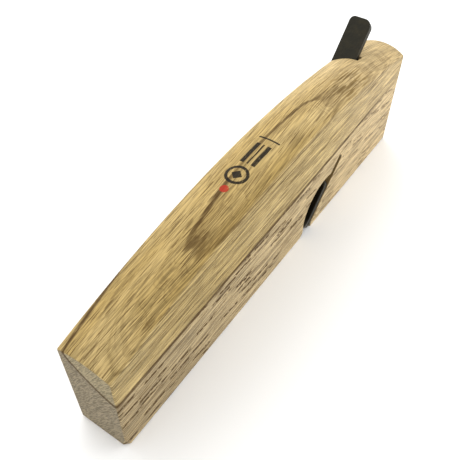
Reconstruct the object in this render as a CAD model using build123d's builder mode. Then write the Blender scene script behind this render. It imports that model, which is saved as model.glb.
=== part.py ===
"""A narrow pulled wooden plane: an oak block with a slanted iron that leaves through its crowned top.

Frame: millimetres, origin on the sole under the middle of the block, +X towards the heel,
+Y towards the left flank, +Z up.  The toe, the end that leads when the plane is pulled, is at -X.
"""
from build123d import *
from math import cos, radians, sin, sqrt, tan
import os

# ---------------------------------------------------------------- driving dimensions
body_length = 210.0
sole_width = 21.8
flank_lean = 0.65            # degrees that each flank leans outwards going up
toe_shoulder_height = 44.5
middle_shoulder_height = 59.9
heel_shoulder_height = 50.0
toe_crown_rise = 2.3         # how far the middle of the top stands above its shoulders
heel_crown_rise = 3.6
shoulder_radius = 1.0
end_arris_radius = 0.8
sole_arris_radius = 0.5
corner_cut = 2.2             # the toe's right corner is cut back this far at the sole
corner_cut_height = 7.0

bed_angle = 45.0
bed_foot_x = 21.0            # where the bed would meet the sole
iron_thickness = 3.8
iron_clearance = 0.05        # running clearance on each face of the iron
flank_inset = 0.15           # the iron's edges stay this far inside the flanks

edge_height = 0.4            # the cutting edge rests this far above the sole
bevel_angle = 28.0
ear_clip = 4.8               # corner ground off the edge at the right flank
iron_top_s = 97.9            # distances with _s run up the bed from bed_foot_x
wing_top_s = 24.5
shank_right_y = 0.9
wing_corner_radius = 2.0
shank_root_radius = 2.0
butt_left_radius = 2.4
butt_right_radius = 3.6
butt_edge_radius = 0.35

steel_thickness = 0.9        # hard layer forge-welded to the front of the iron
steel_top_s = 22.0
hollow_depth = 0.25
hollow_margin = 3.0
hollow_corner_radius = 4.0

slot_end_y = -0.4            # right-hand end of the shank's slot
wing_slot_top_s = 38.3
wing_slot_end_radius = 1.2
throat_centre_x = 33.2
throat_centre_z = 6.9
throat_radius = 16.6         # at the right flank
throat_inner_radius = 10.0
throat_inner_y = 6.6
lip_x = 13.0                 # front lip of the mouth at the sole
lip_radius = 3.9
bed_relief_x = 24.4          # the bed's feather edge is cut back to here

# ---------------------------------------------------------------- worked-out places
half_length = body_length / 2
half_sole = sole_width / 2
lean = tan(radians(flank_lean))
bed_cos = cos(radians(bed_angle))
bed_sin = sin(radians(bed_angle))
past = 20.0                  # how far long cutters run past the block
clear = 1.0                  # how far short cutters stand clear of the face they cut
bed = Plane(origin=(bed_foot_x, 0, 0), x_dir=(bed_cos, 0, bed_sin), z_dir=(-bed_sin, 0, bed_cos))
bed_profile = Plane(origin=(bed_foot_x, past, 0), x_dir=(bed_cos, 0, bed_sin), z_dir=(0, -1, 0))
up_bed = Axis(bed.origin, bed.x_dir)
off_bed = Axis(bed.origin, bed.z_dir)
slot_thickness = iron_thickness + 2 * iron_clearance
iron_front_n = iron_clearance + iron_thickness
edge_s = edge_height / bed_sin - iron_front_n * bed_cos / bed_sin
bevel_run = iron_thickness / tan(radians(bevel_angle))
wing_right_y = -(half_sole - flank_inset)


def half_width(height):
    """Half the block's width at a height above the sole."""
    return half_sole + lean * height


def crowned_outline(station_x, shoulder_height, crown_rise):
    """Cross-section under the crowned top, wider than the block, at one station along it."""
    half_chord = half_width(shoulder_height)
    crown_radius = (half_chord**2 + crown_rise**2) / (2 * crown_rise)
    wide = half_chord + clear
    crest = shoulder_height + crown_rise
    brow = crest - crown_radius + sqrt(crown_radius**2 - wide**2)
    with BuildSketch(Plane(origin=(station_x, 0, 0), x_dir=(0, 1, 0), z_dir=(1, 0, 0))) as outline:
        with BuildLine():
            ThreePointArc((-wide, brow), (0, crest), (wide, brow))
            Polyline((wide, brow), (wide, -clear), (-wide, -clear), (-wide, brow))
        make_face()
    return outline.sketch


# ---------------------------------------------------------------- throat cutter
# A round, tapering hollow that opens on the right flank in front of the iron.
with BuildPart() as throat:
    with BuildSketch(Plane.XY.offset(throat_centre_z)):
        taper = (throat_radius - throat_inner_radius) / (throat_inner_y + half_width(0))
        mouth_radius = throat_radius + taper * clear
        mouth_y = -(half_width(0) + clear)
        with BuildLine():
            Polyline(
                (throat_centre_x, mouth_y),
                (throat_centre_x - mouth_radius, mouth_y),
                (throat_centre_x - throat_inner_radius, throat_inner_y),
                (throat_centre_x, throat_inner_y),
                close=True,
            )
        make_face()
    throat_axis = Axis((throat_centre_x, 0, throat_centre_z), (0, 1, 0))
    revolve(axis=throat_axis, revolution_arc=360)
    split(bisect_by=bed, keep=Keep.TOP)

# ---------------------------------------------------------------- block
with BuildPart() as plane_body:
    with BuildSketch(Plane(origin=(-half_length, 0, 0), x_dir=(0, 1, 0), z_dir=(1, 0, 0))):
        tall = middle_shoulder_height + past
        with BuildLine():
            Polyline(
                (-half_width(0), 0),
                (half_width(0), 0),
                (half_width(tall), tall),
                (-half_width(tall), tall),
                close=True,
            )
        make_face()
    extrude(amount=body_length)
    middle_crown_rise = (toe_crown_rise + heel_crown_rise) / 2
    toe_section = crowned_outline(-half_length, toe_shoulder_height, toe_crown_rise)
    middle_section = crowned_outline(0, middle_shoulder_height, middle_crown_rise)
    heel_section = crowned_outline(half_length, heel_shoulder_height, heel_crown_rise)
    loft([toe_section, middle_section, heel_section], mode=Mode.INTERSECT)

    # eased arrises: shoulders, both ends, then the sole
    long_edges = plane_body.edges().filter_by(lambda e: e.bounding_box().size.X > body_length - clear)
    fillet(long_edges.sort_by(Axis.Z)[-2:], radius=shoulder_radius)
    end_faces = plane_body.faces().filter_by(Axis.X)
    fillet(end_faces.edges(), radius=end_arris_radius)
    sole_face = plane_body.faces().sort_by(Axis.Z)[0]
    sole_long = sole_face.edges().filter_by(Axis.X)
    fillet(sole_long, radius=sole_arris_radius)

    # the toe's right corner, cut back in a facet that narrows upwards
    toe_corner = Vector(-half_length, -half_width(0), 0)
    facet_ends = (
        toe_corner + Vector(corner_cut, 0, 0),
        toe_corner + Vector(0, corner_cut, 0),
        toe_corner + Vector(0, 0, corner_cut_height),
    )
    facet_normal = (facet_ends[2] - facet_ends[0]).cross(facet_ends[1] - facet_ends[0])
    with BuildSketch(Plane(origin=facet_ends[0], z_dir=facet_normal)):
        Rectangle(2 * past, 2 * past)
    extrude(amount=past, mode=Mode.SUBTRACT)

    # slanted slot for the shank, open on the left flank, and for the wing, open on both
    with BuildSketch(bed):
        slot_left = half_width(0) + past
        shank_slot_top = iron_top_s + past
        with Locations((-past, slot_end_y)):
            Rectangle(shank_slot_top + past, slot_left - slot_end_y, align=(Align.MIN, Align.MIN))
        with Locations((-past, -slot_left)):
            Rectangle(wing_slot_top_s + past, 2 * slot_left, align=(Align.MIN, Align.MIN))
    extrude(amount=slot_thickness, mode=Mode.SUBTRACT)
    slot_ends = plane_body.edges().filter_by(Axis.Y)
    slot_ends = slot_ends.filter_by_position(up_bed, wing_slot_top_s - clear, wing_slot_top_s + clear)
    fillet(slot_ends, radius=wing_slot_end_radius)

    # mouth: a rounded front lip and a bed foot cut back square
    with BuildSketch(Plane.XZ.offset(-past)):
        lip_top = (lip_x + lip_radius, lip_radius)
        lip_middle = (lip_x + lip_radius * sin(radians(45)), lip_radius * (1 - cos(radians(45))))
        with BuildLine():
            ThreePointArc((lip_x, 0), lip_middle, lip_top)
            Polyline(
                lip_top,
                (bed_foot_x, lip_radius),
                (bed_relief_x, bed_relief_x - bed_foot_x),
                (bed_relief_x, -clear),
                (lip_x, -clear),
                (lip_x, 0),
            )
        make_face()
    extrude(amount=2 * past, mode=Mode.SUBTRACT)

    add(throat.part, mode=Mode.SUBTRACT)

plane_body.part.label = "plane_body"


# ---------------------------------------------------------------- iron
def left_edge_y(distance_s):
    """The iron's left edge follows the left flank's lean."""
    return half_sole - flank_inset + lean * distance_s * bed_sin


# The whole forged blade: shank on the left, wing out to the right flank, bevel on the bed side.
with BuildPart() as blade:
    with BuildSketch(bed.offset(iron_clearance)):
        with BuildLine():
            Polyline(
                (edge_s, left_edge_y(edge_s)),
                (iron_top_s, left_edge_y(iron_top_s)),
                (iron_top_s, shank_right_y),
                (wing_top_s, shank_right_y),
                (wing_top_s, wing_right_y),
                (edge_s + ear_clip, wing_right_y),
                (edge_s, wing_right_y + ear_clip),
                close=True,
            )
        make_face()
    extrude(amount=iron_thickness)

    butt_corners = blade.edges().filter_by(off_bed).sort_by(up_bed)[-2:].sort_by(Axis.Y)
    fillet(butt_corners[0], radius=butt_right_radius)
    butt_left = blade.edges().filter_by(off_bed).sort_by(Axis.Y)[-2:].sort_by(up_bed)[-1]
    fillet(butt_left, radius=butt_left_radius)
    wing_corners = blade.edges().filter_by(off_bed)
    wing_corners = wing_corners.filter_by_position(up_bed, wing_top_s - clear, wing_top_s + clear)
    fillet(wing_corners.sort_by(Axis.Y)[-1], radius=shank_root_radius)
    wing_corners = blade.edges().filter_by(off_bed)
    wing_corners = wing_corners.filter_by_position(up_bed, wing_top_s - clear, wing_top_s + clear)
    fillet(wing_corners.sort_by(Axis.Y)[0], radius=wing_corner_radius)
    butt_outline = blade.edges().filter_by_position(up_bed, wing_top_s + 2 * clear, iron_top_s + clear)
    fillet(butt_outline.filter_by(off_bed, reverse=True), radius=butt_edge_radius)

    with BuildSketch(bed_profile):
        with BuildLine():
            Polyline(
                (edge_s, iron_front_n),
                (edge_s + bevel_run, iron_clearance),
                (edge_s + bevel_run, -clear),
                (edge_s - clear, -clear),
                (edge_s - clear, iron_front_n + clear),
                (edge_s, iron_front_n + clear),
                close=True,
            )
        make_face()
    extrude(amount=2 * past, mode=Mode.SUBTRACT)

    # shallow hollow on the front face, so that only a flat margin behind the edge is honed
    with BuildSketch(bed.offset(iron_front_n)):
        hollow_bottom = edge_s + hollow_margin
        hollow_right = wing_right_y + hollow_margin
        hollow_length = steel_top_s - hollow_margin - hollow_bottom
        hollow_width = left_edge_y(0) - hollow_margin - hollow_right
        with Locations((hollow_bottom, hollow_right)):
            RectangleRounded(
                hollow_length, hollow_width, radius=hollow_corner_radius, align=(Align.MIN, Align.MIN)
            )
    extrude(amount=-hollow_depth, mode=Mode.SUBTRACT)

# Hard cutting steel: the front layer of the blade's lower end.
with BuildPart() as cutting_steel:
    add(blade.part)
    with BuildSketch(bed.offset(iron_front_n + clear)):
        with Locations((-past, 0)):
            Rectangle(past + steel_top_s, 2 * past, align=(Align.MIN, Align.CENTER))
    extrude(amount=-(clear + steel_thickness), mode=Mode.INTERSECT)
cutting_steel.part.label = "cutting_steel"

# Soft iron: the rest of the blade, with the shank that is tapped to set it.
with BuildPart() as iron_shank:
    add(blade.part)
    add(cutting_steel.part, mode=Mode.SUBTRACT)
iron_shank.part.label = "iron_shank"

# ---------------------------------------------------------------- written pieces
os.makedirs("parts", exist_ok=True)
export_step(plane_body.part, "parts/plane_body.step")
export_step(iron_shank.part, "parts/iron_shank.step")
export_step(cutting_steel.part, "parts/cutting_steel.step")
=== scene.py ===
"""Looks for the narrow wooden pull plane: solid oak figure, forged iron, honed steel, and a pale studio.

Everything is in metres in the part's own frame: +X to the heel, +Y to the left flank, +Z up, sole at z = 0.
Inside the materials, lengths are in millimetres, because wood figure and wear are that small.
"""

import math

import bpy
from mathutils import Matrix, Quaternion, Vector


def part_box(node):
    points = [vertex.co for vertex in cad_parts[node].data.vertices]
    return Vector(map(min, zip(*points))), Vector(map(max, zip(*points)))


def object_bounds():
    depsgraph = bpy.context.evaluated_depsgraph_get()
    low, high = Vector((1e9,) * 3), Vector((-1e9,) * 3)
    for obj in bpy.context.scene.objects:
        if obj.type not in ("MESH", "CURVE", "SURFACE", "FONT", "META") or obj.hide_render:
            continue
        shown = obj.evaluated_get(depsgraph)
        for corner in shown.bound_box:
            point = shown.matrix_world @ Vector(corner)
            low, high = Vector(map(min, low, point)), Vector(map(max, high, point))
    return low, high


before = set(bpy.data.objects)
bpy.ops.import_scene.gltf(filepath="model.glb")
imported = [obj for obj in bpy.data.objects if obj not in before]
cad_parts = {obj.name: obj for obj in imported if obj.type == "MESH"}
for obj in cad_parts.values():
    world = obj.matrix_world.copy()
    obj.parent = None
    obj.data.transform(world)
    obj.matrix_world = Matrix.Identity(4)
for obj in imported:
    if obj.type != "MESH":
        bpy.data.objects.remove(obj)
cad_low, cad_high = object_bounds()

MM = 0.001


# ---------------------------------------------------------------- node helpers
MIX_FACTOR, MIX_FIRST, MIX_SECOND, MIX_RESULT = 0, 6, 7, 2      # the Mix node's sockets for colours
WEAR_SAMPLES = 6
WEAR_STARTS, WEAR_FULL = 0.99, 0.85     # cosines of the angle by which an edge's rounding turns the surface


def srgb(red, green, blue):
    """A display colour, 0 to 255, as the linear colour that shaders take."""
    def linear(channel):
        share = channel / 255
        return share / 12.92 if share <= 0.04045 else ((share + 0.055) / 1.055) ** 2.4
    return (linear(red), linear(green), linear(blue), 1.0)


class Field:
    """A value that varies over the surface: a node socket that takes ordinary arithmetic."""

    def __init__(self, graph, socket):
        self.graph = graph
        self.socket = socket

    def __add__(self, other):
        return self.graph.math("ADD", self, other)

    def __radd__(self, other):
        return self.graph.math("ADD", other, self)

    def __sub__(self, other):
        return self.graph.math("SUBTRACT", self, other)

    def __rsub__(self, other):
        return self.graph.math("SUBTRACT", other, self)

    def __mul__(self, other):
        return self.graph.math("MULTIPLY", self, other)

    def __rmul__(self, other):
        return self.graph.math("MULTIPLY", other, self)

    def __truediv__(self, other):
        return self.graph.math("DIVIDE", self, other)

    def __abs__(self):
        return self.graph.math("ABSOLUTE", self)


class Graph:
    """One material's node tree, built by calls that return fields."""

    def __init__(self, name):
        self.material = bpy.data.materials.new(name)
        self.material.use_nodes = True
        self.nodes = self.material.node_tree.nodes
        self.links = self.material.node_tree.links
        self.shader = self.nodes["Principled BSDF"]
        self.coordinates = self.nodes.new("ShaderNodeTexCoord")

    def feed(self, socket, value):
        """Links a field to the socket, or sets the socket to a plain number or colour."""
        if isinstance(value, Field):
            self.links.new(value.socket, socket)
        else:
            socket.default_value = value

    def math(self, operation, *values):
        node = self.nodes.new("ShaderNodeMath")
        node.operation = operation
        for socket, value in zip(node.inputs, values):
            self.feed(socket, value)
        return Field(self, node.outputs[0])

    def largest(self, first, *others):
        for other in others:
            first = self.math("MAXIMUM", first, other)
        return first

    def smallest(self, first, second):
        return self.math("MINIMUM", first, second)

    def hypotenuse(self, first, second):
        return self.math("SQRT", first * first + second * second)

    def split(self, vector_socket):
        node = self.nodes.new("ShaderNodeSeparateXYZ")
        self.links.new(vector_socket, node.inputs[0])
        return [Field(self, socket) for socket in node.outputs]

    def point(self, x, y, z):
        node = self.nodes.new("ShaderNodeCombineXYZ")
        for socket, value in zip(node.inputs, (x, y, z)):
            self.feed(socket, value)
        return Field(self, node.outputs[0])

    def place(self):
        """The surface point in millimetres."""
        node = self.nodes.new("ShaderNodeVectorMath")
        node.operation = "SCALE"
        self.links.new(self.coordinates.outputs["Object"], node.inputs[0])
        node.inputs["Scale"].default_value = 1 / MM
        return self.split(node.outputs[0])

    def facing(self):
        """How far the surface faces along each axis."""
        return self.split(self.coordinates.outputs["Normal"])

    def noise(self, x, y, z, detail=2.0, roughness=0.5):
        """Soft noise from 0 to 1 with a period of about one unit."""
        node = self.nodes.new("ShaderNodeTexNoise")
        self.feed(node.inputs["Vector"], self.point(x, y, z))
        node.inputs["Scale"].default_value = 1.0
        node.inputs["Detail"].default_value = detail
        node.inputs["Roughness"].default_value = roughness
        return Field(self, node.outputs[0])

    def cells(self, x, y, z):
        """Offset from the nearest of one scattered point per unit cell, and that cell's random value."""
        here = self.point(x, y, z)
        node = self.nodes.new("ShaderNodeTexVoronoi")
        node.inputs["Scale"].default_value = 1.0
        node.inputs["Randomness"].default_value = 1.0
        self.feed(node.inputs["Vector"], here)
        offset = self.nodes.new("ShaderNodeVectorMath")
        offset.operation = "SUBTRACT"
        self.feed(offset.inputs[0], here)
        self.links.new(node.outputs["Position"], offset.inputs[1])
        chance = self.split(node.outputs["Color"])[0]
        return self.split(offset.outputs[0]), chance

    def fade(self, value, start, end, low=0.0, high=1.0):
        """Goes smoothly from low, where value is at start, to high, where it is at end."""
        node = self.nodes.new("ShaderNodeMapRange")
        node.interpolation_type = "SMOOTHSTEP"
        for name, number in (
            ("Value", value), ("From Min", start), ("From Max", end), ("To Min", low), ("To Max", high)
        ):
            self.feed(node.inputs[name], number)
        return Field(self, node.outputs[0])

    def curve(self, value, low, high, stops):
        """A number read from a curve: stops are (value, result) pairs between low and high."""
        node = self.nodes.new("ShaderNodeValToRGB")
        node.color_ramp.interpolation = "EASE"
        elements = node.color_ramp.elements
        while len(elements) < len(stops):
            elements.new(0.5)
        for element, (at, result) in zip(elements, stops):
            element.position = (at - low) / (high - low)
            element.color = (result, result, result, 1.0)
        self.feed(node.inputs[0], (value - low) / (high - low))
        return Field(self, node.outputs[0])

    def mix(self, factor, first, second, blend="MIX"):
        """A colour between first and second."""
        node = self.nodes.new("ShaderNodeMix")
        node.data_type = "RGBA"
        node.blend_type = blend
        self.feed(node.inputs[MIX_FACTOR], factor)
        self.feed(node.inputs[MIX_FIRST], first)
        self.feed(node.inputs[MIX_SECOND], second)
        return Field(self, node.outputs[MIX_RESULT])

    def shade(self, colour, brightness):
        """The colour made darker or lighter by a brightness field around 1."""
        grey = self.point(brightness, brightness, brightness)
        return self.mix(1.0, colour, grey, "MULTIPLY")

    def wear(self, radius):
        """1 along the solid's edges and 0 a radius away from them."""
        node = self.nodes.new("ShaderNodeBevel")
        node.samples = WEAR_SAMPLES
        node.inputs["Radius"].default_value = radius * MM
        geometry = self.nodes.new("ShaderNodeNewGeometry")
        dot = self.nodes.new("ShaderNodeVectorMath")
        dot.operation = "DOT_PRODUCT"
        self.links.new(node.outputs[0], dot.inputs[0])
        self.links.new(geometry.outputs["Normal"], dot.inputs[1])
        return self.fade(Field(self, dot.outputs["Value"]), WEAR_STARTS, WEAR_FULL)

    def bump(self, height_mm):
        """Lets a height field, in millimetres, tilt the surface."""
        node = self.nodes.new("ShaderNodeBump")
        node.inputs["Distance"].default_value = MM
        self.feed(node.inputs["Height"], height_mm)
        self.links.new(node.outputs[0], self.shader.inputs["Normal"])

    def finish(self, colour, roughness, metallic=0.0, specular=0.5):
        """Feeds the shader, and returns the material."""
        self.feed(self.shader.inputs["Base Color"], colour)
        self.feed(self.shader.inputs["Roughness"], roughness)
        self.shader.inputs["Metallic"].default_value = metallic
        self.shader.inputs["Specular IOR Level"].default_value = specular
        return self.material


# ---------------------------------------------------------------- oak
# Growth rings are tilted, slightly cupped sheets that run from end to end.  A point's ring height is its
# height above them, so that a ring shows as one line that goes over the toe, the flanks and the arched top.
# The two numbers after the value in a fade are where it starts and ends: places in millimetres, or shares of
# a noise, or of how far the surface faces an axis.  What a noise's x, y and z are divided by is its grain.
HALF_LENGTH = cad_high.x / MM
LOWER_RING = 40.2             # ring heights of the two dark rings
UPPER_RING = 62.1
RING_TILT = 0.767             # how steeply the sheets rise towards the left flank,
RING_CUP = 0.021              # how they curl up away from the middle,
RING_CLIMB = 0.036            # and how steeply they rise towards the heel
RING_SAG = 0.9                # how far they hang at mid length, below the places this far out
RING_SAG_REACH = 100.0
RING_LEFT_RISE = 3.1          # extra rise of all sheets at the left flank
RING_RIGHT_RISE = 1.8         # and of the upper ones towards the right flank and at its edge
RING_EDGE_RISE = 0.8
RING_STEP_UP = 1.0            # the upper sheets step up, then down, past the middle of the block
RING_STEP_DOWN = 2.0
RING_WANDER = 0.6
RING_RIPPLE = 0.4
UPPER_RING_COMB = 1.1         # how far the fibres pull the upper ring's edge about

SHEET_COSINE = 0.829          # the sheets' mean slope across the block.  Rays are square to it.
SHEET_SINE = 0.559
RAY_FALL = 0.03               # the rays' dashes fall towards the heel, and past the middle bend down more
RAY_BEND = 0.0007

FIBRE_SWAY = 2.2              # the fibres swing this far sideways, most to the right at this place,
FIBRE_SWAY_X = -40.0
FIBRE_SWAY_LENGTH = 30.0      # with this length along the block for each radian of the swing,
FIBRE_BEND = 0.0006           # and bend down past the middle
FINE_LENGTH, FINE_WIDTH = 14, 0.36
PORE_LENGTH, PORE_WIDTH = 11, 0.4
WORN_EDGE = 0.9

LIFT = 0.725                  # all the oak colours together
TAN = srgb(196, 168, 108)
PALE_TAN = srgb(217, 190, 132)
OLIVE_TAN = srgb(160, 134, 78)
GOLDEN_TAN = srgb(180, 150, 84)
FLANK_TAN = srgb(198, 181, 136)
PINK_BEIGE = srgb(194, 173, 133)
CREAM = srgb(210, 186, 143)
END_GREY = srgb(157, 144, 119)
END_OLIVE = srgb(172, 158, 126)
RING_BROWN = srgb(72, 50, 22)
HALO_OLIVE = srgb(124, 100, 54)
PORE_BROWN = srgb(92, 70, 38)
# darker brown of the sawn faces in the slot and throat, which is also painted shade in those recesses
SAWN_AND_SHADE_BROWN = srgb(92, 70, 40)
RAY_BROWN = srgb(82, 61, 34)
INK_BLACK = srgb(22, 20, 18)
INK_RED = srgb(170, 46, 32)

# how far each colour covers the one under it, where it is strongest
OLIVE_STREAK_COVER = 0.28
OLIVE_LAYER_COVER = 0.22
FLANK_COVER = 0.25
CREAM_COVER = 0.6
GOLDEN_COVER = 0.4
RING_COVER = 0.9
END_RING_COVER = 0.75
FAINT_RING_COVER = 0.55
LOOSE_FLECK_COVER = 0.75
PORE_COVER = 0.68
SAWN_AND_SHADE_COVER = 0.7
POLISH_COVER = 0.35
BLACK_COVER = 0.95
RED_COVER = 0.9

FINE_HEIGHT = 0.03            # relief
PORE_DEPTH = 0.07
RAY_DEPTH = 0.04
RING_DEPTH = 0.05
SWELL_HEIGHT = 0.02

# the stamp, from toe to heel: dot, ring around a lozenge, three bars, cross bar
DOT_X, DOT_RADIUS = -30.0, 1.7
STAMP_RING_X, STAMP_RING_RADIUS, STAMP_RING_HALF = -22.0, 4.0, 0.62
LOZENGE_REACH = 2.3
BAR_X, BAR_REACH = -9.5, 6.0
BAR_Y, BAR_HALF, THIN_BAR_HALF = 2.4, 0.85, 0.3
CROSS_BAR_HALF, CROSS_BAR_REACH = 0.4, 4.6
INK_BLEED = 0.12


class Oak(Graph):
    """The block's wood, as one solid figure that carries on over every edge.

    Its attributes are the fields that several features share.
    """

    def __init__(self):
        super().__init__("oak_solid")
        self.x, self.y, self.z = self.place()
        self.nx, self.ny, self.nz = self.facing()
        self.side = self.fade(abs(self.nz), 0.8, 0.3)       # 1 on the flanks and ends
        self.end = self.fade(abs(self.nx), 0.85, 0.95)      # 1 on the ends only
        self.heelward = self.fade(self.x, 5.0, 85.0)
        past_middle = self.largest(self.x, 0.0)
        self.heel_bend = past_middle * past_middle

        sway = self.math("COSINE", (self.x - FIBRE_SWAY_X) / FIBRE_SWAY_LENGTH)
        self.fibre_y = self.y + FIBRE_SWAY * sway
        self.fibre_z = self.z - RING_CLIMB * self.x + FIBRE_BEND * self.heel_bend
        self.tangent = SHEET_COSINE * self.y + SHEET_SINE * self.z
        self.radial = SHEET_COSINE * self.z - SHEET_SINE * self.y

        self.ring = self.ring_height()
        under_ring = self.fade(self.ring, LOWER_RING + 0.3, LOWER_RING - 0.5)
        self.below = under_ring * self.fade(self.nz, 0.8, 0.4, 0.15, 1.0)
        self.fine = self.fade(self.streaks(self.fibre_y, FINE_LENGTH, FINE_WIDTH), 0.36, 0.64)
        self.patchy = self.fade(self.noise(self.x / 5, self.y / 1.2, self.z / 1.2), 0.25, 0.55, 0.55, 1.0)

    def ring_height(self):
        """Height above the ring sheets, with the wander that real wood has."""
        x, y, z = self.x, self.y, self.z
        wander = self.noise(x / 45, y / 9, z / 9, detail=1.0) - 0.5
        ripple = self.noise(x / 9, y / 3, z / 3, detail=1.0) - 0.5
        reach = x / RING_SAG_REACH
        level = z - RING_TILT * y - RING_CUP * (y * y) - RING_CLIMB * x
        level = level + RING_SAG * (1 - reach * reach) - RING_LEFT_RISE * self.fade(y, 6.0, 11.5)
        high = self.fade(z, 42.0, 54.0)
        flattened = RING_RIGHT_RISE * self.fade(y, -1.5, -7.5) + RING_EDGE_RISE * self.fade(y, -9.8, -11.0)
        stepped = RING_STEP_UP * self.fade(x, 27.0, 33.0) - RING_STEP_DOWN * self.fade(x, 36.0, 62.0)
        return level - high * (flattened + stepped) + RING_WANDER * wander + RING_RIPPLE * ripple

    def streaks(self, y, length, width, detail=2.0):
        """Noise drawn out along the grain, in lines of that length and width on every side of the block."""
        depth = 6 * width
        over = self.noise(self.x / length, y / width, self.fibre_z / depth, detail)
        beside = self.noise(self.x / length, y / depth, self.fibre_z / width, detail)
        return beside + self.fade(self.nz, 0.4, 0.8) * (over - beside)

    def layers(self, length, thickness, pattern, detail, roughness=0.5):
        """Noise that follows the ring sheets.  Each pattern number gives a different one."""
        return self.noise(self.x / length, self.ring / thickness, pattern, detail, roughness)

    def ground(self):
        """Yellow, pinkish under the lower ring, cream to the heel, and golden on the top's right and toe."""
        x, y = self.x, self.y
        pale = self.fade(self.noise(x / 75, y / 9, self.z / 12, detail=1.5), 0.35, 0.68)
        olive_streaks = self.fade(self.streaks(self.fibre_y, 24, 1.1), 0.56, 0.3)
        olive_layers = self.fade(self.layers(120, 1.1, 3.0, detail=2.5, roughness=0.6), 0.52, 0.3)
        right_and_toe = self.fade(x + 5 * y, 0.0, -50.0) * self.fade(x, -100.0, -80.0, 0.4, 1.0)
        golden = right_and_toe * self.fade(self.nz, 0.6, 0.85)
        colour = self.mix(pale, TAN, PALE_TAN)
        colour = self.mix(olive_streaks * OLIVE_STREAK_COVER, colour, OLIVE_TAN)
        colour = self.mix(olive_layers * OLIVE_LAYER_COVER, colour, OLIVE_TAN)
        colour = self.mix(self.side * FLANK_COVER, colour, FLANK_TAN)
        colour = self.mix(self.below, colour, PINK_BEIGE)
        colour = self.mix(self.heelward * CREAM_COVER, colour, CREAM)
        return self.mix(golden * GOLDEN_COVER, colour, GOLDEN_TAN)

    def brightness(self):
        """Lighter to the heel, and on the top to the left; the top's change from left to right is painted
        light, lighter where the light falls from the left and darker on the right.

        Fine streaks show most on the flanks and on the right of the toe half.
        """
        x, y = self.x, self.y
        along = self.fade(x, -85.0, 30.0, 1.0, 1.11) * self.fade(x, -HALF_LENGTH, -75.0, 0.97, 1.0)
        # painted light: the top is made lighter on its left and darker on its right, as if lit from the left
        across = 1 + self.fade(self.nz, 0.5, 0.8) * self.fade(y, -9.0, 9.0, -0.09, 0.07)
        under = 1 + self.below * self.fade(x, -85.0, -25.0, 0.0, 0.18)
        right_toe = self.fade(y, -2.0, -6.0) * self.fade(x, 0.0, -40.0)
        contrast = 0.52 + 0.16 * self.side + 0.16 * right_toe
        return LIFT * (along * across * under) * (1 + contrast * (self.fine - 0.5))

    def upper_ring(self):
        """The ring that loops over the top: its sharp line, and the halo that fades upwards from it."""
        x, y = self.x, self.y
        combed = self.streaks(self.fibre_y, 12, 0.5, detail=1.0) - 0.5
        over = self.ring - UPPER_RING + UPPER_RING_COMB * combed
        strength = self.curve(
            x, -HALF_LENGTH, HALF_LENGTH,
            [(-HALF_LENGTH, 1.0), (-38, 1.0), (-12, 0.6), (6, 0.85), (30, 0.85), (54, 0.75), (78, 0.0)]
        )
        half_width = self.fade(x, -40.0, -52.0, 0.85, 0.6)
        weaker_heel = self.fade(x, 30.0, 42.0, 1.0, 0.75)
        weaker_toe = self.fade(x, -45.0, -56.0, 1.0, 0.7)
        weaker_right = self.fade(y, -5.0, -8.5, 1.0, 0.5)
        line = self.fade(abs(over), half_width, 0.3) * weaker_heel * weaker_toe * weaker_right

        # at the loop's heel end, the line breaks up into flecks along the grain
        flecks = self.fade(self.streaks(y, 9, 0.7, detail=1.0), 0.46, 0.6)
        broken = self.fade(x, 33.0, 44.0)
        line = line * (1 + broken * (0.85 * flecks - 0.9))
        near_line = self.fade(abs(over), 2.6, 1.0) * self.fade(self.nz, 0.6, 0.8)
        loop_end = self.fade(x, 36.0, 48.0) * self.fade(x, 82.0, 66.0)
        loose_flecks = flecks * near_line * loop_end

        halo = self.smallest(self.fade(over, -0.5, 0.1), self.fade(over, 3.4, -0.6))
        halo = halo * self.fade(x, 10.0, -30.0, 0.2, 0.6)
        return line * strength, self.largest(halo * strength * self.patchy, loose_flecks * LOOSE_FLECK_COVER)

    def lower_ring(self):
        """The ring that shows on the flanks and over the toe: wider at the left, weaker at the heel."""
        strength = self.fade(self.x, 100.0, 55.0, 0.25, 1.0)
        half_width = 1.3 + 1.2 * self.fade(self.y, 5.0, 9.0)
        return self.fade(abs(self.ring - LOWER_RING), half_width, 0.7) * strength

    def faint_rings(self):
        """Fainter rings between the dark ones, as thin lines that follow the same sheets."""
        thin = self.fade(abs(self.layers(140, 1.3, 8.0, detail=1.5) - 0.5), 0.035, 0.01)
        long = self.fade(self.layers(50, 0.5, 17.0, detail=1.0), 0.58, 0.68)
        return self.largest(thin * (0.35 + 0.65 * self.side), long * (0.3 + 0.7 * self.side))

    def rays(self):
        """Thin sheets square to the rings, which show as short dashes along the grain."""
        slanted = self.tangent + RAY_FALL * self.x + RAY_BEND * self.heel_bend
        offset, chance = self.cells(self.x / 14, slanted / 2.2, self.radial / 22)
        dash = self.fade(abs(offset[0]), 0.46, 0.36) * self.fade(abs(offset[1]), 0.22, 0.12)
        present = self.fade(chance, 0.38, 0.52)
        weaker_heel = self.fade(self.x, 60.0, -20.0, 0.6, 1.0)
        weaker_left = self.fade(self.ny, 0.2, 0.6, 1.0, 0.5)
        weaker_above = 0.2 + 0.8 * self.below
        ragged = self.noise(self.x / 1.9, self.tangent / 0.6, self.radial / 8, detail=1.0)
        ragged = self.fade(ragged, 0.34, 0.5)
        return dash * present * weaker_heel * ragged * weaker_above * weaker_left

    def pores(self):
        """Hair-thin vessels along the grain, fainter to the heel."""
        vessels = self.streaks(self.fibre_y, PORE_LENGTH, PORE_WIDTH, detail=1.0)
        return self.fade(vessels, 0.6, 0.655) * (1 - 0.4 * self.heelward)

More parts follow.
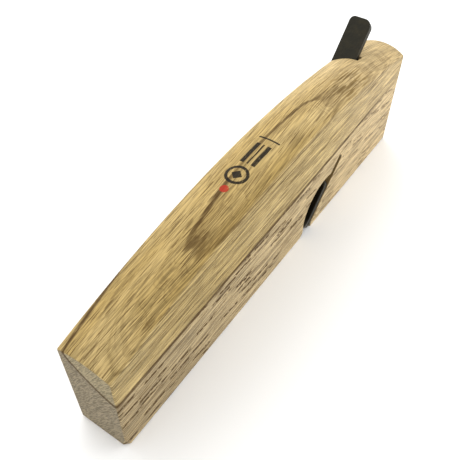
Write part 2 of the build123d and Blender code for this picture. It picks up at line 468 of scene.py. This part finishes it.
    def cut_faces_and_painted_shade(self):
        """1 on the slanted faces that are cut for the iron and the throat, which are made darker brown:
        partly the colour of sawn wood, partly painted shade inside the slot and throat.
        """
        slanted = self.fade(abs(self.nx), 0.4, 0.6) * (1 - self.end)
        off_the_ends = self.fade(abs(self.x), HALF_LENGTH - 3.0, HALF_LENGTH - 7.0)
        return slanted * off_the_ends

    def end_grain(self, rings):
        """Greyer, with pores as specks and rays as fine light and dark lines square to the rings."""
        rays = self.noise(self.x / 6, self.tangent / 0.25, self.radial / 3.0, detail=2.0, roughness=0.6)
        rays = self.fade(rays, 0.34, 0.66)
        specks = self.noise(self.x / 3, self.y / 0.3, self.z / 0.3)
        colour = self.mix(self.below, END_OLIVE, END_GREY)
        colour = self.shade(colour, LIFT * (0.62 + 0.72 * rays))
        colour = self.shade(colour, 0.93 + 0.14 * specks)
        return self.mix(rings * END_RING_COVER, colour, RING_BROWN)

    def handled_edges(self):
        """Edges polished pale by hands and bench."""
        scuffed = self.noise(self.x / 6, self.y / 4, self.z / 4, detail=3.0)
        return self.wear(WORN_EDGE) * self.fade(scuffed, 0.35, 0.65, 0.2, 1.0)

    def inked(self, distance, reach):
        """1 nearer than reach and 0 beyond it, with the slightly soft edge of ink in wood."""
        return self.fade(distance, reach + INK_BLEED, reach - INK_BLEED)

    def stamp(self):
        """A plain stamp on the top: bars, a ring around a lozenge, and a red dot.  Returns black and red."""
        x, y = self.x, self.y
        across = abs(y)
        from_ring = x - STAMP_RING_X
        from_dot = x - DOT_X
        ring = self.inked(abs(self.hypotenuse(from_ring, y) - STAMP_RING_RADIUS), STAMP_RING_HALF)
        lozenge = self.inked(abs(from_ring) + across, LOZENGE_REACH)
        bar_length = self.inked(abs(x - BAR_X), BAR_REACH)
        bars = bar_length * self.inked(abs(across - BAR_Y), BAR_HALF)
        thin_bar = bar_length * self.inked(across, THIN_BAR_HALF)
        cross_bar = self.inked(abs(x), CROSS_BAR_HALF) * self.inked(across, CROSS_BAR_REACH)
        dot = self.inked(self.hypotenuse(from_dot, y), DOT_RADIUS)
        bite = self.noise(x / 2.2, self.fibre_y / 0.3, self.fibre_z / 0.3)
        bite = self.fade(bite, 0.28, 0.42, 0.55, 1.0) * self.fade(self.nz, 0.6, 0.8)
        return self.largest(ring, lozenge, bars, thin_bar, cross_bar) * bite, dot * bite

    def build(self):
        """Lays the features over each other, and returns the material."""
        upper_line, halo = self.upper_ring()
        rings = self.largest(upper_line, self.lower_ring())
        rays = self.rays()
        pores = self.pores()
        black, red = self.stamp()
        colour = self.shade(self.ground(), self.brightness())
        colour = self.mix(halo, colour, HALO_OLIVE)
        colour = self.mix(rings * self.patchy * RING_COVER, colour, RING_BROWN)
        colour = self.mix(self.faint_rings() * self.patchy * FAINT_RING_COVER, colour, RING_BROWN)
        colour = self.mix(rays, colour, RAY_BROWN)
        colour = self.mix(pores * PORE_COVER, colour, PORE_BROWN)
        # the cut faces of the slot and throat darkened: the colour of sawn wood together with painted shade
        # in the recess
        colour = self.mix(self.cut_faces_and_painted_shade() * SAWN_AND_SHADE_COVER, colour, SAWN_AND_SHADE_BROWN)
        colour = self.mix(self.end, colour, self.end_grain(rings))
        colour = self.mix(self.handled_edges() * POLISH_COVER, colour, PALE_TAN)
        colour = self.mix(black * BLACK_COVER, colour, INK_BLACK)
        colour = self.mix(red * RED_COVER, colour, INK_RED)

        swell = self.noise(self.x / 25, self.y / 3, self.z / 3)
        relief = FINE_HEIGHT * self.fine - PORE_DEPTH * pores - RAY_DEPTH * rays - RING_DEPTH * rings
        self.bump(relief + SWELL_HEIGHT * swell)
        roughness = 0.5 + 0.18 * self.fine + 0.1 * pores + 0.12 * self.end
        return self.finish(colour, roughness, specular=0.08)


# ---------------------------------------------------------------- iron and steel
SCALE_BLACK = srgb(41, 39, 30)
SCALE_BROWN = srgb(52, 48, 35)
RUBBED_IRON = srgb(92, 88, 78)
STEEL_GREY = srgb(128, 126, 120)
STEEL_DARK = srgb(42, 39, 31)
RUBBED_EDGE = 0.6
STAIN_STARTS = 3.5            # the steel's stain, by height above its edge,
STAIN_FULL = 8.0
STAIN_DRIPS = 3.0             # and how far its lower border comes down in patches


def make_forged_iron():
    graph = Graph("forged_iron_scale")
    x, y, z = graph.place()
    mottle = graph.noise(x / 4, y / 4, z / 4, detail=4.0, roughness=0.6)
    grit = graph.noise(x / 0.35, y / 0.35, z / 0.35)
    dents = graph.fade(graph.noise(x / 1.6, y / 1.6, z / 1.6), 0.3, 0.5)
    rubbed = graph.wear(RUBBED_EDGE) * graph.fade(mottle, 0.35, 0.6, 0.3, 1.0)
    colour = graph.mix(graph.fade(mottle, 0.4, 0.7), SCALE_BLACK, SCALE_BROWN)
    colour = graph.shade(colour, 0.73 + 0.26 * grit)
    colour = graph.mix(rubbed * 0.4, colour, RUBBED_IRON)
    graph.bump(0.03 * grit + 0.04 * dents + 0.05 * mottle)
    return graph.finish(colour, 0.42 + 0.25 * mottle - 0.12 * rubbed, metallic=0.5, specular=0.3)


def make_honed_steel(edge_z):
    """Steel with honing lines: bright by its edge, whose height is given in metres, and stained above."""
    graph = Graph("honed_steel_lines")
    x, y, z = graph.place()
    lines = graph.noise(x / 0.12, y / 9, z / 0.12, detail=2.0, roughness=0.6)
    border = z + STAIN_DRIPS * graph.noise(x / 3, y / 3, z / 3, detail=3.0)
    stained = graph.fade(border, edge_z / MM + STAIN_STARTS, edge_z / MM + STAIN_FULL)
    colour = graph.mix(stained, STEEL_GREY, STEEL_DARK)
    colour = graph.shade(colour, 0.62 + 0.3 * lines)
    graph.bump(0.02 * lines)
    return graph.finish(colour, 0.28 + 0.14 * lines + 0.2 * stained, metallic=1.0)


# ---------------------------------------------------------------- stage, light and camera
FLOOR_SIZE = 6.0
FLOOR_GAP = 0.0002            # keeps the floor off the sole
FLOOR_PALE = srgb(247, 247, 246)
FLOOR_PALEST = srgb(250, 250, 249)
LIGHT_AIM = Vector((0.0, 0.0, 0.03))
SKY_STRENGTH = 1.06
CAMERA_AIM = Vector((-0.02615, 0.0, 0.0358))
CAMERA_DISTANCE = 0.23524
CAMERA_AZIMUTH = math.radians(-145.609)     # from +X towards +Y
CAMERA_ELEVATION = math.radians(47.434)
CAMERA_ROLL = math.radians(0.306)
CAMERA_LENS = 47.637                        # for a sensor this wide, both in millimetres
SENSOR_WIDTH = 36.0
CAMERA_NEAR = 0.01


def make_floor():
    graph = Graph("pale_floor")
    x, y, z = graph.place()
    tone = graph.noise(x / 180, y / 180, z / 180)
    colour = graph.mix(tone, FLOOR_PALE, FLOOR_PALEST)
    material = graph.finish(colour, roughness=0.9, specular=0.1)
    bpy.ops.mesh.primitive_plane_add(size=FLOOR_SIZE, location=(0, 0, cad_low.z - FLOOR_GAP))
    floor = bpy.context.object
    floor.name = "floor"
    floor.data.materials.append(material)


def stand(name, data, location, target):
    """Puts a lamp or camera at a place in the scene, turned to look at a target."""
    thing = bpy.data.objects.new(name, data)
    thing.location = location
    thing.rotation_mode = "QUATERNION"
    thing.rotation_quaternion = (target - location).to_track_quat("-Z", "Y")
    bpy.context.scene.collection.objects.link(thing)
    return thing


def softbox(name, location, size, power):
    lamp = bpy.data.lights.new(name, "AREA")
    lamp.shape = "DISK"
    lamp.size = size
    lamp.energy = power
    stand(name, lamp, Vector(location), LIGHT_AIM)


def make_light():
    world = bpy.data.worlds.new("studio")
    world.use_nodes = True
    background = world.node_tree.nodes["Background"]
    background.inputs["Color"].default_value = (1.0, 1.0, 1.0, 1.0)
    background.inputs["Strength"].default_value = SKY_STRENGTH
    bpy.context.scene.world = world
    softbox("key", location=(0.35, 0.75, 0.7), size=1.4, power=8.2)
    softbox("heel_fill", location=(0.5, -0.5, 0.3), size=0.5, power=1.9)


def make_camera():
    """Above the toe's right corner, looking back along the block, with a slight roll."""
    data = bpy.data.cameras.new("camera")
    data.sensor_width = SENSOR_WIDTH
    data.lens = CAMERA_LENS
    data.clip_start = CAMERA_NEAR
    level = math.cos(CAMERA_ELEVATION)
    outwards = Vector(
        (level * math.cos(CAMERA_AZIMUTH), level * math.sin(CAMERA_AZIMUTH), math.sin(CAMERA_ELEVATION))
    )
    camera = stand("camera", data, CAMERA_AIM + CAMERA_DISTANCE * outwards, CAMERA_AIM)
    camera.rotation_quaternion = camera.rotation_quaternion @ Quaternion((0, 0, 1), CAMERA_ROLL)
    bpy.context.scene.camera = camera


def clothe(node, material):
    """Gives a CAD node its finish."""
    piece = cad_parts[node]
    piece.data.materials.clear()
    piece.data.materials.append(material)


clothe("plane_body", Oak().build())
clothe("iron_shank", make_forged_iron())
clothe("cutting_steel", make_honed_steel(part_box("cutting_steel")[0].z))
make_floor()
make_light()
make_camera()
bpy.context.scene.view_settings.view_transform = "Standard"
